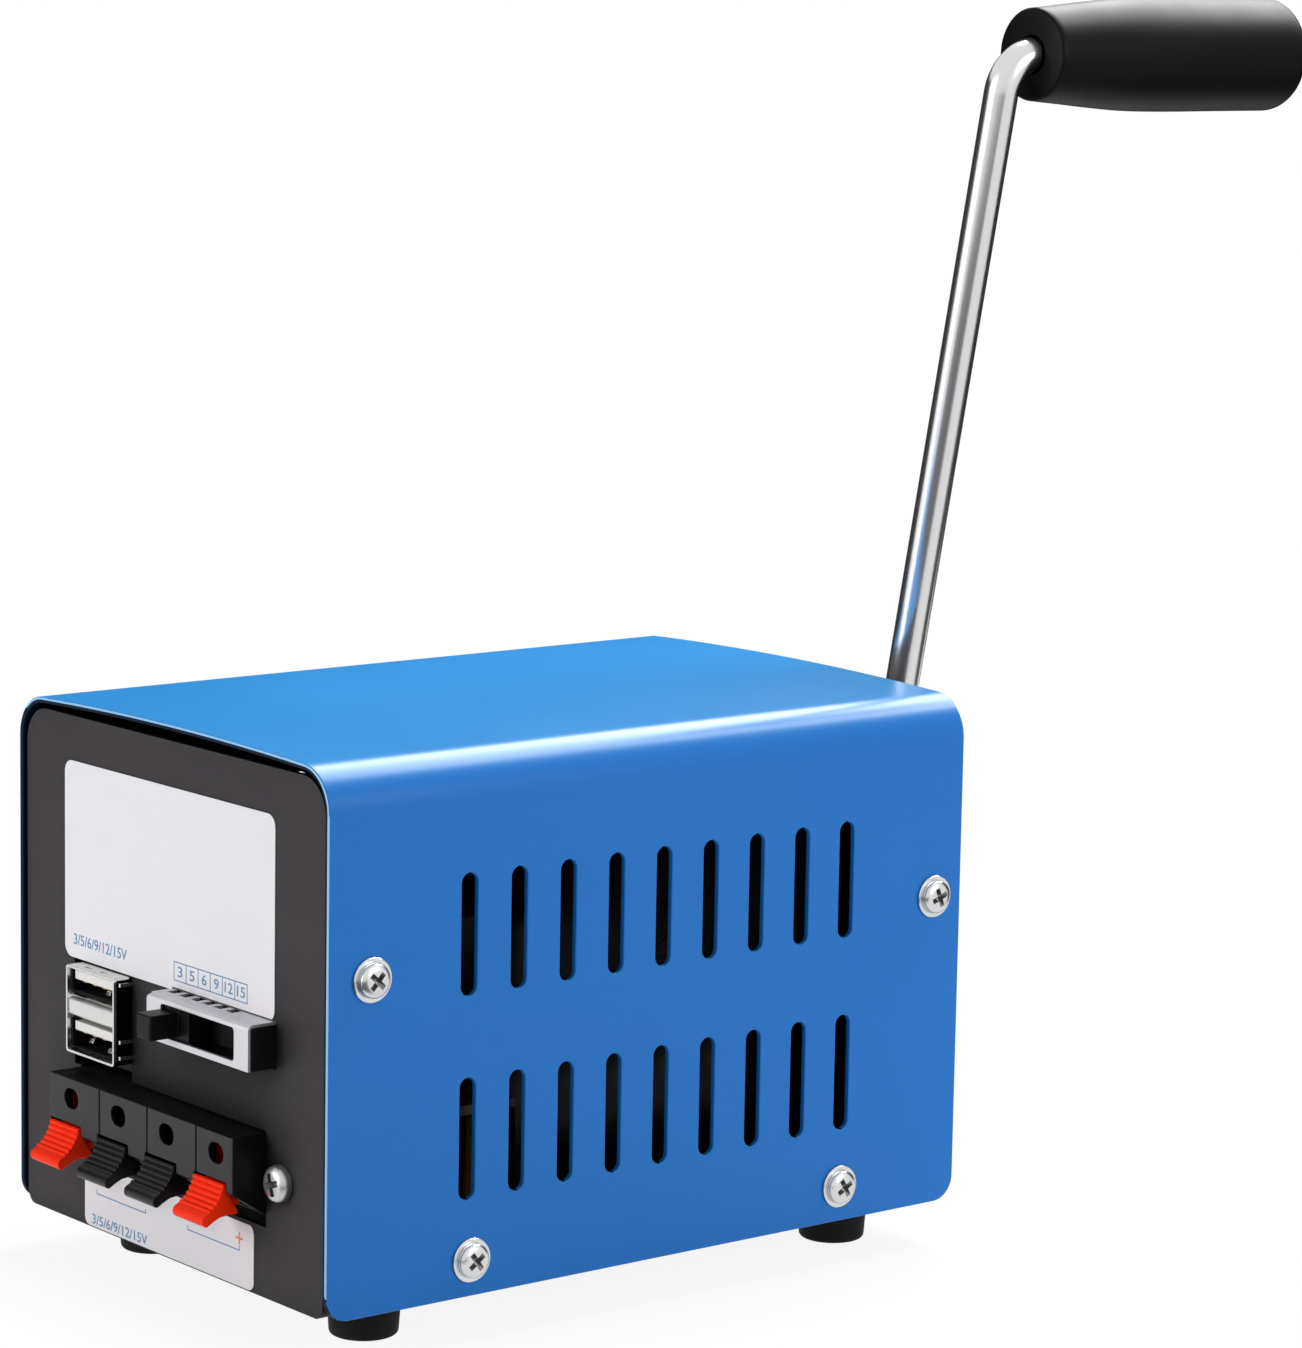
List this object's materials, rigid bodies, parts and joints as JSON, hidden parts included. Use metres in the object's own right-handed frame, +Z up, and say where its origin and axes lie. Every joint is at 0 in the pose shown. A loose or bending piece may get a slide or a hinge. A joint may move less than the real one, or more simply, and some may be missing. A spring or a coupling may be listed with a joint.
{
  "type": "hand crank generator",
  "caption": "Hand cranked bench generator: blue slotted steel case, bent crank with turning grip, push terminals, USB sockets and voltage slide.",
  "frame": {"origin": "on the surface the feet stand on, under the middle of the whole object's bounding box", "axes": "+Z up, +Y from the front panel towards the crank, +X towards the front panel's right side seen from the front"},
  "size_m": [0.091, 0.2178, 0.206],
  "materials": {
    "blue_paint": "smooth gloss blue powder coat",
    "dark_paint": "satin dark grey powder coat",
    "zinc": "bright zinc plated",
    "rod_steel": "bright drawn nickel plated rod",
    "gear_steel": "machined and oiled",
    "shell_nickel": "bright nickel plated stamping",
    "selector_steel": "tin plated stamping",
    "aluminium": "extruded",
    "bronze": "sintered bronze",
    "brass": "tinned brass stamping",
    "copper": "enamelled wire",
    "rubber": "matt moulded rubber",
    "grip_plastic": "satin moulded",
    "black_plastic": "fine matt moulded",
    "white_plastic": "moulded",
    "red_plastic": "moulded",
    "lever_black": "moulded",
    "label_film": "satin printed film",
    "board_green": "solder mask",
    "epoxy_black": "moulded epoxy",
    "sleeve_dark": "shrunk sleeve",
    "ferrite": "sintered",
    "carbon": "pressed carbon",
    "lead_red": "soft insulation",
    "lead_black": "soft insulation"
  },
  "bodies": {
    "case": {"cover": "blue_paint", "chassis": "dark_paint", "cover_screws": "zinc", "cover_washers": "zinc", "rubber_feet": "rubber", "upper_label": "label_film", "lower_label": "label_film", "usb_shell": "shell_nickel", "usb_insert": "white_plastic", "usb_contacts": "brass", "selector_frame": "selector_steel", "selector_body": "black_plastic", "selector_pins": "brass", "terminal_housing": "black_plastic", "terminal_contacts": "brass", "terminal_screws": "zinc", "board": "board_green", "board_standoffs": "brass", "capacitors": "sleeve_dark", "inductor_core": "ferrite", "inductor_winding": "copper", "heat_sink": "aluminium", "regulator": "epoxy_black", "rectifier": "epoxy_black", "inner_fasteners": "zinc", "leads_red": "lead_red", "leads_black": "lead_black", "gearbox_front_plate": "gear_steel", "gearbox_rear_plate": "gear_steel", "gearbox_posts": "zinc", "gearbox_screws": "zinc", "bearing_bushes": "bronze", "generator_can": "zinc", "generator_end_cap": "black_plastic", "magnets": "ferrite", "brushes": "carbon", "brush_tags": "brass"},
    "crank": {"crank_arm": "rod_steel", "crank_hub": "rod_steel", "crank_fixings": "gear_steel", "crank_shaft": "gear_steel", "drive_gear": "gear_steel", "grip_retainer": "gear_steel"},
    "grip": {"grip": "grip_plastic", "grip_cap": "grip_plastic"},
    "layshaft_1": {"pinion_shaft_1": "gear_steel", "wheel_1": "gear_steel"},
    "layshaft_2": {"pinion_shaft_2": "gear_steel", "wheel_2": "gear_steel"},
    "rotor": {"rotor_shaft": "gear_steel", "rotor_pinion": "brass", "armature_core": "gear_steel", "armature_winding": "copper", "commutator": "copper"},
    "selector_knob": {"selector_knob": "black_plastic", "selector_wiper": "brass"},
    "terminal_lever_1_red": {"terminal_lever_1_red": "red_plastic"},
    "terminal_lever_2_black": {"terminal_lever_2_black": "lever_black"},
    "terminal_lever_3_black": {"terminal_lever_3_black": "lever_black"},
    "terminal_lever_4_red": {"terminal_lever_4_red": "red_plastic"}
  },
  "joints": [
    {"name": "crank_spin", "type": "hinge", "parent": "case", "child": "crank", "pos_m": [0, 0.03925, 0.0505], "axis": [0, 1, 0], "continuous": true},
    {"name": "grip_spin", "type": "hinge", "parent": "crank", "child": "grip", "pos_m": [0.0296, 0.07925, 0.19627], "axis": [0, 1, 0], "continuous": true},
    {"name": "layshaft_1_spin", "type": "hinge", "parent": "case", "child": "layshaft_1", "pos_m": [-0.02397, 0.01225, 0.0293], "axis": [0, 1, 0], "continuous": true},
    {"name": "layshaft_2_spin", "type": "hinge", "parent": "case", "child": "layshaft_2", "pos_m": [-0.00266, 0.01225, 0.02237], "axis": [0, 1, 0], "continuous": true},
    {"name": "rotor_spin", "type": "hinge", "parent": "case", "child": "rotor", "pos_m": [0.01312, -0.02575, 0.02812], "axis": [0, 1, 0], "continuous": true},
    {"name": "selector_slide", "type": "slide", "parent": "case", "child": "selector_knob", "axis": [1, 0, 0], "range_m": [0, 0.0162]},
    {"name": "terminal_press_1", "type": "hinge", "parent": "case", "child": "terminal_lever_1_red", "pos_m": [-0.0208, -0.10035, 0.0244], "axis": [1, 0, 0], "range_deg": [0, 15], "stiffness_Nm_per_rad": 0.02, "springref_deg": -20.05},
    {"name": "terminal_press_2", "type": "hinge", "parent": "case", "child": "terminal_lever_2_black", "pos_m": [-0.007, -0.10035, 0.0244], "axis": [1, 0, 0], "range_deg": [0, 15], "stiffness_Nm_per_rad": 0.02, "springref_deg": -20.05},
    {"name": "terminal_press_3", "type": "hinge", "parent": "case", "child": "terminal_lever_3_black", "pos_m": [0.0068, -0.10035, 0.0244], "axis": [1, 0, 0], "range_deg": [0, 15], "stiffness_Nm_per_rad": 0.02, "springref_deg": -20.05},
    {"name": "terminal_press_4", "type": "hinge", "parent": "case", "child": "terminal_lever_4_red", "pos_m": [0.0206, -0.10035, 0.0244], "axis": [1, 0, 0], "range_deg": [0, 15], "stiffness_Nm_per_rad": 0.02, "springref_deg": -20.05}
  ],
  "couplings": [
    {"joint": "layshaft_1_spin", "follows": "crank_spin", "ratio": -3},
    {"joint": "layshaft_2_spin", "follows": "crank_spin", "ratio": 7.5},
    {"joint": "rotor_spin", "follows": "crank_spin", "ratio": -18.75}
  ]
}
